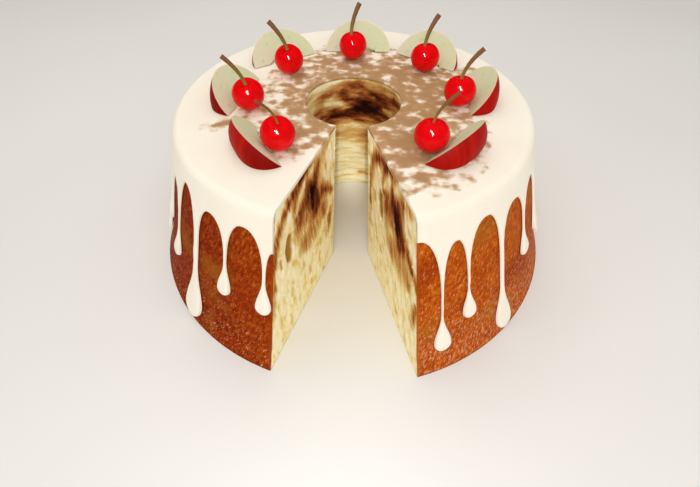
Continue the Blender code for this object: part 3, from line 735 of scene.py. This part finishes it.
def icing_outline(drips, gaps):
    """A search tree of closely spaced points along the icing's free edge."""
    points = []
    for index, drip in enumerate(drips):
        for gap, height, rounding in gaps[index : index + 2]:
            length = height - drip[1]
            rounding = min(rounding, length - neck_height(length, drip[2]))
            for level in drip_levels(length, rounding, drip[2], OUTLINE_FINENESS):
                bearing, level_height = on_drip(drip, gap, height, rounding, 1.0, level)
                points.append(around(bearing, wall_radius(level_height), level_height))
    tree = kdtree.KDTree(len(points))
    for index, point in enumerate(points):
        tree.insert(point, index)
    tree.balance()
    return tree


def stand_off(point, proud):
    """A point on the cake's surface moved outwards by proud."""
    bearing, radius, height, lean = point[:4]
    return around(bearing, radius + proud * math.cos(lean), height + proud * math.sin(lean))


def icing_mesh():
    drips, gaps = all_drips()
    edge = icing_outline(drips, gaps)
    mesh_data = bmesh.new()
    for index, drip in enumerate(drips):
        left, right = gaps[index], gaps[index + 1]
        shown, under = [], []
        for step in range(DRIP_COLUMNS + 1):
            line = icing_line(drip, left, right, math.sin(math.pi * (step / DRIP_COLUMNS - 0.5)))
            top, bottom = [], []
            for point in line:
                base = stand_off(point, 0.0)
                thick = point[4]
                if point[2] < RIM_LOW:
                    near_edge = min(1.0, edge.find(base)[2] / ICING_EDGE)
                    thick *= math.sqrt(max(0.0, 1.0 - (1.0 - near_edge) ** 2))
                    thick *= 1.0 + SIDE_RIPPLE * noise.noise(base / SIDE_RIPPLE_SIZE)
                elif point[3] == math.pi / 2:
                    waves = noise.noise(base / TOP_WAVE_SIZE) + 0.35 * noise.noise(base / TOP_RIPPLE_SIZE)
                    thick -= TOP_WAVES * (0.5 + 0.4 * waves)
                top.append(mesh_data.verts.new(stand_off(point, CLEARANCE + thick)))
                bottom.append(mesh_data.verts.new(stand_off(point, CLEARANCE)))
            bearing, lip = line[0][0], line[0][1]
            low, high = CAKE_TOP + CLEARANCE, top[0].co.z
            rounding = []
            for turn_step in range(1, LIP_STEPS):
                turn = math.pi * turn_step / LIP_STEPS
                height = blend(low, high, 0.5 - 0.5 * math.cos(turn))
                corner = around(bearing, lip - ICING_ON_TOP / 2 * math.sin(turn), height)
                rounding.append(mesh_data.verts.new(corner))
            shown.append([bottom[0]] + rounding + top)
            under.append(bottom)
        sheet(mesh_data, shown)
        sheet(mesh_data, under)
        below_gap = ROUNDING_ROWS + NECK_ROWS + TAPER_ROWS + BULB_ROWS
        for end, drip_there in ((0, 0), (-1, len(drips) - 1)):
            if index == drip_there:
                mesh_data.faces.new(shown[end][:-below_gap] + under[end][:-below_gap][:0:-1])
    made = mesh_from("icing skin", mesh_data, 2e-6)
    made.set_sharp_from_angle(angle=math.radians(50.0))
    spots = corners_of(made) * TO_MM
    x, y = spots[:, 0], spots[:, 1] - AXIS_Y * TO_MM
    inside = np.interp(np.degrees(np.arctan2(x, y)), *zip(*DUST_REACH)) - np.hypot(x, y)
    cover = np.interp(inside, *zip(*DUST_FADE))
    cover *= np.interp(x, [-20.0, 20.0], [DUST_ON_LEFT, 1.0])
    cover = np.maximum(cover, SMEAR_COVER * along_stroke(x, y, DUST_SMEAR))
    cover[spots[:, 2] < CAKE_TOP * TO_MM] = 0.0
    mark(made, "bare", np.interp(cover, *zip(*COVER_LEVELS)))
    return made


def dust_cover(tree, place, bare):
    """How far cinnamon covers a place, and how thick it lies: soft drifts of about 8 by 7 mm."""
    along = add(tree, "VectorMath", [place, (0.85, 1.0, 0.0)], operation="MULTIPLY")
    drifts = add(tree, "TexNoise", {"Vector": along, "Scale": 150.0, "Detail": 2.4, "Roughness": 0.5})
    margin = add(tree, "Math", [drifts, bare], operation="SUBTRACT")
    cover = add(tree, "MapRange", [margin, -0.12, 0.12], interpolation_type="SMOOTHSTEP")
    return cover, margin


def vanilla_icing():
    """Set vanilla icing: smooth, matt, warm white, stained where cinnamon lies on it.

    The stain is speckled about every 1.1 mm, because the powder itself is too fine to show.
    """
    made, tree, shader = new_material("vanilla icing", IOR=1.45, Specular_IOR_Level=0.05)
    place = add(tree, "TexCoord").outputs["Object"]
    bare = add(tree, "Attribute", attribute_name="bare").outputs["Fac"]
    clouds = add(tree, "TexNoise", {"Vector": place, "Scale": 60.0, "Detail": 3.0})
    cream = add(tree, "ValToRGB", [clouds], [(0.3, "#F7EEDD"), (0.7, "#F9F2E3")])
    cover, margin = dust_cover(tree, place, bare)
    powder = add(tree, "TexNoise", {"Vector": place, "Scale": 900.0, "Detail": 3.0, "Roughness": 0.7})
    speckled = add(tree, "Math", [powder, 0.12, margin], operation="MULTIPLY_ADD")
    brown = add(tree, "ValToRGB", [speckled], [(0.02, "#CCA878"), (0.12, "#BA9062"), (0.26, "#A97E50")])
    thin = add(tree, "Math", [cover, 0.95], operation="MULTIPLY")
    dusted = add(tree, "Mix", [thin, cream, brown], data_type="RGBA")
    matt = add(tree, "MapRange", [cover, 0.0, 1.0, 0.55, 0.9])
    powdery = add(tree, "Math", [powder, cover], operation="MULTIPLY")
    bump = add(tree, "Bump", {"Height": powdery, "Strength": 0.3, "Distance": 0.0003})
    connect(tree, shader, {"Base Color": dusted, "Roughness": matt, "Normal": bump})
    return made


icing = new_piece("icing_skin", icing_mesh(), vanilla_icing())
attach(icing, root)
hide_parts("icing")

# The cinnamon: ground bark, sifted over the middle of the icing. Its coarser grains lie loose on
# top of the stain, thick round the hole and thin at the edges. They are drawn up to 0.47 mm long,
# because most real grains are too fine to show.
GRAIN_RADIUS = 0.00018
GRAINS_PER_SQUARE_METRE = 2.0e6


def sifted_cinnamon_tree(surface):
    """Strews grains on the faces that look up, as thickly as the icing is stained there."""
    tree, given = new_growth("sifted cinnamon", Geometry="Geometry", Grain_radius="Float",
                             Grain_density="Float")
    facing = add(tree, "SeparateXYZ", [add(tree, "GeometryNodeInputNormal")])
    upwards = add(tree, "Math", [facing.outputs["Z"], 0.8], operation="GREATER_THAN")
    scattered = add(tree, "GeometryNodeDistributePointsOnFaces",
                    {"Mesh": given["Geometry"], "Selection": upwards, "Density": given["Grain density"],
                     "Seed": 4})
    bare = add(tree, "GeometryNodeInputNamedAttribute", {"Name": "bare"}, data_type="FLOAT")
    cover = dust_cover(tree, add(tree, "GeometryNodeInputPosition"), bare)[0]
    luck = add(tree, "FunctionNodeRandomValue", {2: 0.0, 3: 1.6, "Seed": 9}, data_type="FLOAT")
    missed = add(tree, "Math", [luck, cover], operation="GREATER_THAN")
    kept = add(tree, "GeometryNodeDeleteGeometry", [scattered, missed], domain="POINT")
    grain = add(tree, "GeometryNodeMeshUVSphere",
                {"Segments": 4, "Rings": 2, "Radius": given["Grain radius"]})
    turned, sized = [
        add(tree, "FunctionNodeRandomValue", {0: low, 1: high, "Seed": seed}, data_type="FLOAT_VECTOR")
        for low, high, seed in (((0.0, 0.0, 0.0), (6.28, 6.28, 6.28), 2),
                                ((0.5, 0.5, 0.35), (1.3, 1.0, 0.8), 3))
    ]
    grains = add(tree, "GeometryNodeInstanceOnPoints",
                 {"Points": kept, "Instance": grain, "Rotation": turned, "Scale": sized})
    return end_growth(tree, grains, surface)


def ground_cinnamon():
    """Ground cinnamon bark: dry, matt, light brown grains, some paler than others."""
    made, tree, shader = new_material("ground cinnamon", Roughness=0.9)
    place = add(tree, "TexCoord").outputs["Object"]
    mixed = add(tree, "TexNoise", {"Vector": place, "Scale": 1500.0, "Detail": 1.0})
    tone = add(tree, "ValToRGB", [mixed], [(0.3, "#9C7044"), (0.5, "#B08458"), (0.7, "#C0966A")])
    connect(tree, shader, {"Base Color": tone})
    return made


carrier = new_piece("dusted top", icing.data)
grain_mesh = grown(carrier, sifted_cinnamon_tree(ground_cinnamon()), Grain_radius=GRAIN_RADIUS,
                   Grain_density=GRAINS_PER_SQUARE_METRE)
bpy.data.objects.remove(carrier)
cinnamon = new_piece("sifted_cinnamon", grain_mesh)
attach(cinnamon, root)

# The apple wedges: eighths of a small red apple, cored with a knife and laid on one cut side.
# The peel is waxy, streaked from the flesh's edge to the icing; the flesh is pale, moist and green.
WEDGE_HALF_LENGTH = 0.0208
WEDGE_DEPTH_CUT = 0.0197
WEDGE_DEPTH_SKIN = 0.0158
WEDGE_BLUNTNESS = 2.6
WEDGE_ANGLE = math.radians(47.2)
CORE_HALF_LENGTH = 0.0100
CORE_DEPTH = 0.0034
WEDGE_STATIONS = 64
PEEL_STEPS = 20
FLESH_STEPS = 14
CORE_STEPS = 6
BASE_STEPS = 4
# Where a pip's socket was nicked, at one end of the core: along the wedge, and in from the peel.
PIP_NICK = (0.0103, 0.0166, 0.0)
# Each topping: wedge's bearing and distance from the ring's axis, the way its skin faces, cherry's
# bearing and distance, the way its stem leans, and how many times as thick as the usual that stem
# is. Bearings run clockwise from the back.
TOPPINGS = [
    (0.6, 0.0596, -1.8, -2.8, 0.0507, 31.7, 1.2),
    (42.2, 0.0632, 35.1, 48.8, 0.0552, 48.1, 1.2),
    (84.0, 0.0641, 91.4, 92.7, 0.0575, 77.1, 1.05),
    (130.1, 0.0628, 127.1, 139.2, 0.0594, 91.8, 0.75),
    (-136.7, 0.0607, -120.3, -143.8, 0.0583, -131.5, 0.6),
    (-90.4, 0.0615, -77.0, -101.7, 0.0571, -90.1, 1.0),
    (-45.2, 0.0631, -32.7, -53.1, 0.0498, -77.2, 1.15),
]


def wedge_mesh(name, bearing, distance, facing):
    """A wedge in its own frame, length along x and skin towards +y, then laid in its place."""
    mesh_data = bmesh.new()
    spread = mesh_data.loops.layers.uv.new("cut")
    rows, marks = [], {}
    for station in range(WEDGE_STATIONS + 1):
        turn = math.pi * station / WEDGE_STATIONS
        along = -WEDGE_HALF_LENGTH * math.cos(turn)
        hollow = CORE_DEPTH * math.sqrt(max(0.0, 1.0 - (along / CORE_HALF_LENGTH) ** 2))
        blunt = max(0.0, 1.0 - abs(math.cos(turn)) ** WEDGE_BLUNTNESS) ** (1.0 / WEDGE_BLUNTNESS)
        low_depth = WEDGE_DEPTH_SKIN * blunt
        high_depth = WEDGE_DEPTH_CUT * math.sin(turn)
        polar = [(blend(low_depth, high_depth, step / PEEL_STEPS), WEDGE_ANGLE * step / PEEL_STEPS)
                 for step in range(PEEL_STEPS + 1)]
        polar += [(blend(high_depth, hollow, step / FLESH_STEPS), WEDGE_ANGLE)
                  for step in range(1, FLESH_STEPS + 1)]
        polar += [(hollow, WEDGE_ANGLE * (1.0 - step / CORE_STEPS)) for step in range(1, CORE_STEPS + 1)]
        polar += [(blend(hollow, low_depth, step / BASE_STEPS), 0.0) for step in range(1, BASE_STEPS)]
        row = []
        for depth, angle in polar:
            corner = mesh_data.verts.new((along, depth * math.cos(angle), depth * math.sin(angle)))
            marks[corner] = (along, high_depth - depth)
            row.append(corner)
        rows.append(row + row[:1])
    sheet(mesh_data, rows)
    for index, face in enumerate(mesh_data.faces):
        for loop in face.loops:
            loop[spread].uv = marks[loop.vert]
        face.material_index = 0 if index % (len(rows[0]) - 1) < PEEL_STEPS else 1
    turn_round = Matrix.Rotation(-math.radians(facing), 4, "Z")
    place = around(math.radians(bearing), distance, CAKE_HEIGHT + CLEARANCE)
    bmesh.ops.transform(mesh_data, matrix=Matrix.Translation(place) @ turn_round, verts=mesh_data.verts)
    made = mesh_from(name, mesh_data)
    made.set_sharp_from_angle(angle=math.radians(30.0))
    return made


def apple_peel():
    """Waxy red apple peel: deep red with faint streaks 4 mm apart, darker towards one end."""
    made, tree, shader = new_material("apple peel", Roughness=0.5, IOR=1.4, Specular_IOR_Level=0.06)
    spread = add(tree, "UVMap", uv_map="cut")
    streaky = add(tree, "VectorMath", [spread, (1.0, 0.1, 0.0)], operation="MULTIPLY")
    streaks = add(tree, "TexNoise", {"Vector": streaky, "Scale": 260.0, "Detail": 3.0, "Roughness": 0.55})
    red = add(tree, "ValToRGB", [streaks], [(0.34, "#940A03"), (0.48, "#AA1007"), (0.62, "#B6180B")])
    along = add(tree, "SeparateXYZ", [spread])
    end = add(tree, "MapRange", [along, -0.007, -0.018, 0.0, 0.8], interpolation_type="SMOOTHSTEP")
    ripe = add(tree, "Mix", [end, red, paint("#780400")], data_type="RGBA")
    connect(tree, shader, {"Base Color": ripe})
    return made


def apple_flesh():
    """Cut apple: pale moist flesh with faint green flecks of 3 mm, a creamy rim, and a pip's nick."""
    made, tree, shader = new_material("apple flesh", Roughness=0.6, IOR=1.4, Specular_IOR_Level=0.06)
    spread = add(tree, "UVMap", uv_map="cut")
    along, from_peel = add(tree, "SeparateXYZ", [spread]).outputs[:2]
    clouds = add(tree, "TexNoise", {"Vector": spread, "Scale": 130.0, "Detail": 3.0})
    end_to_end = add(tree, "Math", [along, 14.0, clouds], operation="MULTIPLY_ADD")
    flesh = add(tree, "ValToRGB", [end_to_end],
                [(0.15, "#DAD2BC"), (0.38, "#D7D6B3"), (0.62, "#D3D8B0"), (0.85, "#D7D4AC")])
    flecks = add(tree, "TexNoise", {"Vector": spread, "Scale": 300.0, "Detail": 1.0})
    from_pip = add(tree, "VectorMath", [spread, PIP_NICK], operation="DISTANCE")
    for value, none_at, full_at, most, code in (
        (flecks, 0.58, 0.74, 0.6, "#B8CC8A"),
        (from_peel, 0.0008, 0.0003, 0.9, "#F2D8B6"),
        (from_pip, 0.0010, 0.0004, 0.9, "#5A3C20"),
    ):
        share = add(tree, "MapRange", [value, none_at, full_at, 0.0, most])
        flesh = add(tree, "Mix", [share, flesh, paint(code)], data_type="RGBA")
    bump = add(tree, "Bump", {"Height": flecks, "Strength": 0.2, "Distance": 0.0003})
    connect(tree, shader, {"Base Color": flesh, "Normal": bump})
    return made


peel, flesh = apple_peel(), apple_flesh()
for number, topping in enumerate(TOPPINGS, start=1):
    wedge = new_piece(f"apple_slice_{number}", wedge_mesh("apple slice", *topping[:3]), peel, flesh)
    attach(wedge, root)
    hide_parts(f"apple_wedge_{number}")

# The cherries: stemmed cherries kept in syrup, bright red all through, with taut shining skin
# that dips where the stem goes in.
CHERRY_RADIUS = 0.00855
CHERRY_HALF_HEIGHT = 0.0079
CHERRY_SQUARENESS = 0.88
DIMPLE_DEPTH = 0.0022
DIMPLE_RADIUS = 0.0026
CHERRY_TILT = math.radians(12.0)
CREASE_BEARING = 1.0
CREASE_DEPTH = 0.035
CREASE_WIDTH = 0.22
CHERRY_SIDES = 56
CHERRY_STEPS = 36


def cherry_profile(steps):
    """Half outline of a cherry, from the bottom of its stem dimple to its underside."""
    points = []
    for step in range(steps + 1):
        angle = math.pi * step / steps
        radius = CHERRY_RADIUS * math.sin(angle) ** CHERRY_SQUARENESS if 0 < step < steps else 0.0
        height = CHERRY_HALF_HEIGHT * math.cos(angle)
        if angle < math.pi / 2:
            height -= DIMPLE_DEPTH * math.exp(-((radius / DIMPLE_RADIUS) ** 2))
        points.append((radius, height))
    return points


def cherry_middle(bearing, distance):
    return around(math.radians(bearing), distance, CAKE_HEIGHT + CLEARANCE + CHERRY_HALF_HEIGHT)


def cherry_up(lean):
    """The tilted cherry's own axis: it leans square to the way its stem bends."""
    side = math.radians(lean) - math.pi / 2
    flat = math.sin(CHERRY_TILT)
    return Vector((flat * math.sin(side), flat * math.cos(side), math.cos(CHERRY_TILT)))


def cherry_mesh(bearing, distance, lean):
    mesh_data = bmesh.new()
    rows = []
    for side in range(CHERRY_SIDES + 1):
        angle = 2 * math.pi * side / CHERRY_SIDES
        from_crease = math.remainder(angle - CREASE_BEARING, 2 * math.pi)
        crease = 1.0 - CREASE_DEPTH * math.exp(-((from_crease / CREASE_WIDTH) ** 2))
        line = []
        for radius, height in cherry_profile(CHERRY_STEPS):
            reach = radius * blend(1.0, crease, max(0.0, height) / CHERRY_HALF_HEIGHT)
            line.append(mesh_data.verts.new((reach * math.cos(angle), reach * math.sin(angle), height)))
        rows.append(line)
    sheet(mesh_data, rows)
    tilt = cherry_up(lean).to_track_quat("Z", "Y").to_matrix().to_4x4()
    place = Matrix.Translation(cherry_middle(bearing, distance))
    bmesh.ops.transform(mesh_data, matrix=place @ tilt, verts=mesh_data.verts)
    return mesh_from("cherry", mesh_data)


def syrup_cherry():
    """Cherry kept in syrup: even bright red with a faint deeper mottle of 4 mm, and taut wet skin."""
    made, tree, shader = new_material("syrup cherry", Roughness=0.10, IOR=1.23)
    place = add(tree, "TexCoord").outputs["Object"]
    mottle = add(tree, "TexNoise", {"Vector": place, "Scale": 260.0, "Detail": 3.0})
    red = add(tree, "ValToRGB", [mottle], [(0.3, "#D8060C"), (0.5, "#E4080E"), (0.7, "#E80C12")])
    connect(tree, shader, {"Base Color": red})
    return made


cherry_skin = syrup_cherry()
for number, topping in enumerate(TOPPINGS, start=1):
    cherry = new_piece(f"syrup_cherry_{number}", cherry_mesh(*topping[3:6]), cherry_skin)
    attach(cherry, root)
    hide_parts(f"cherry_{number}")

# The stems: dry cherry stalks, olive where they are still fresh near the fruit and brown towards
# the end that was pulled off the twig, where they widen a little.
STEM_RADIUS = 0.00085
STEM_TIP_RADIUS = 0.00125
STEM_BEND = (0.0030, 0.0137)
STEM_TIP = (0.0094, 0.0210)
STEM_SIDE = 0.0018


def stem_tree(surface):
    """A stalk: a curve from the dimple to its free end, given thickness and faint knobs."""
    tree, given = new_growth("cherry stalk", Root="Vector", Bend="Vector", Tip="Vector", Radius="Float",
                             Tip_radius="Float")
    path = add(tree, "GeometryNodeCurveQuadraticBezier",
               {"Resolution": 28, "Start": given["Root"], "Middle": given["Bend"], "End": given["Tip"]})
    share = add(tree, "GeometryNodeSplineParameter")
    thick = add(tree, "MapRange", [share, 0.0, 1.0, given["Radius"], given["Tip radius"]])
    sized = add(tree, "GeometryNodeSetCurveRadius", {"Curve": path, "Radius": thick})
    known = add(tree, "GeometryNodeStoreNamedAttribute",
                {"Geometry": sized, "Name": "along", "Value": share}, data_type="FLOAT", domain="POINT")
    ring = add(tree, "GeometryNodeCurvePrimitiveCircle", {"Resolution": 14, "Radius": 1.0})
    tube = add(tree, "GeometryNodeCurveToMesh",
               {"Curve": known, "Profile Curve": ring, "Scale": add(tree, "GeometryNodeInputRadius"),
                "Fill Caps": True})
    place = add(tree, "GeometryNodeInputPosition")
    knobs = add(tree, "TexNoise", {"Vector": place, "Scale": 900.0, "Detail": 2.0})
    height = add(tree, "MapRange", [knobs, 0.0, 1.0, -0.0002, 0.0001])
    push = add(tree, "VectorMath", [add(tree, "GeometryNodeInputNormal"), height], operation="SCALE")
    knobbly = add(tree, "GeometryNodeSetPosition", {"Geometry": tube, "Offset": push})
    return end_growth(tree, knobbly, surface)


def dry_stalk():
    """Cherry stalk: thin dry bark, uneven every 2 mm, olive near the fruit and brown at the end."""
    made, tree, shader = new_material("cherry stalk", Roughness=0.7, Specular_IOR_Level=0.1)
    place = add(tree, "TexCoord").outputs["Object"]
    along = add(tree, "Attribute", attribute_name="along").outputs["Fac"]
    uneven = add(tree, "TexNoise", {"Vector": place, "Scale": 500.0, "Detail": 3.0})
    shifted = add(tree, "Math", [uneven, 0.25, along], operation="MULTIPLY_ADD")
    tone = add(tree, "ValToRGB", [shifted],
               [(0.10, "#A08040"), (0.30, "#86702F"), (0.62, "#7C5A28"), (1.0, "#80502A")])
    bump = add(tree, "Bump", {"Height": uneven, "Strength": 0.4, "Distance": 0.0003})
    connect(tree, shader, {"Base Color": tone, "Normal": bump})
    return made


stalk_tree = stem_tree(dry_stalk())
for number, topping in enumerate(TOPPINGS, start=1):
    cherry_bearing, cherry_distance, lean, thickness = topping[3:]
    turn = math.radians(lean)
    outwards = Vector((math.sin(turn), math.cos(turn), 0.0))
    sideways = Vector((math.sin(turn - math.pi / 2), math.cos(turn - math.pi / 2), 0.0))
    middle = cherry_middle(cherry_bearing, cherry_distance)
    root_end = cherry_up(lean) * (CHERRY_HALF_HEIGHT - DIMPLE_DEPTH + STEM_RADIUS / 2)
    bend = outwards * STEM_BEND[0] + sideways * STEM_SIDE + Vector((0, 0, STEM_BEND[1]))
    tip_end = outwards * STEM_TIP[0] + sideways * STEM_SIDE + Vector((0, 0, STEM_TIP[1]))
    control = bend * 2.0 - (root_end + tip_end) / 2
    seedling = new_piece("seedling", bpy.data.meshes.new("seedling"))
    stalk_mesh = grown(seedling, stalk_tree, Root=middle + root_end, Bend=middle + control,
                       Tip=middle + tip_end, Radius=STEM_RADIUS * thickness,
                       Tip_radius=STEM_TIP_RADIUS * thickness)
    bpy.data.objects.remove(seedling)
    stalk_mesh.shade_smooth()
    stalk = new_piece(f"stalk_{number}", stalk_mesh)
    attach(stalk, root)
    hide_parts(f"cherry_stem_{number}")

bpy.context.view_layer.update()
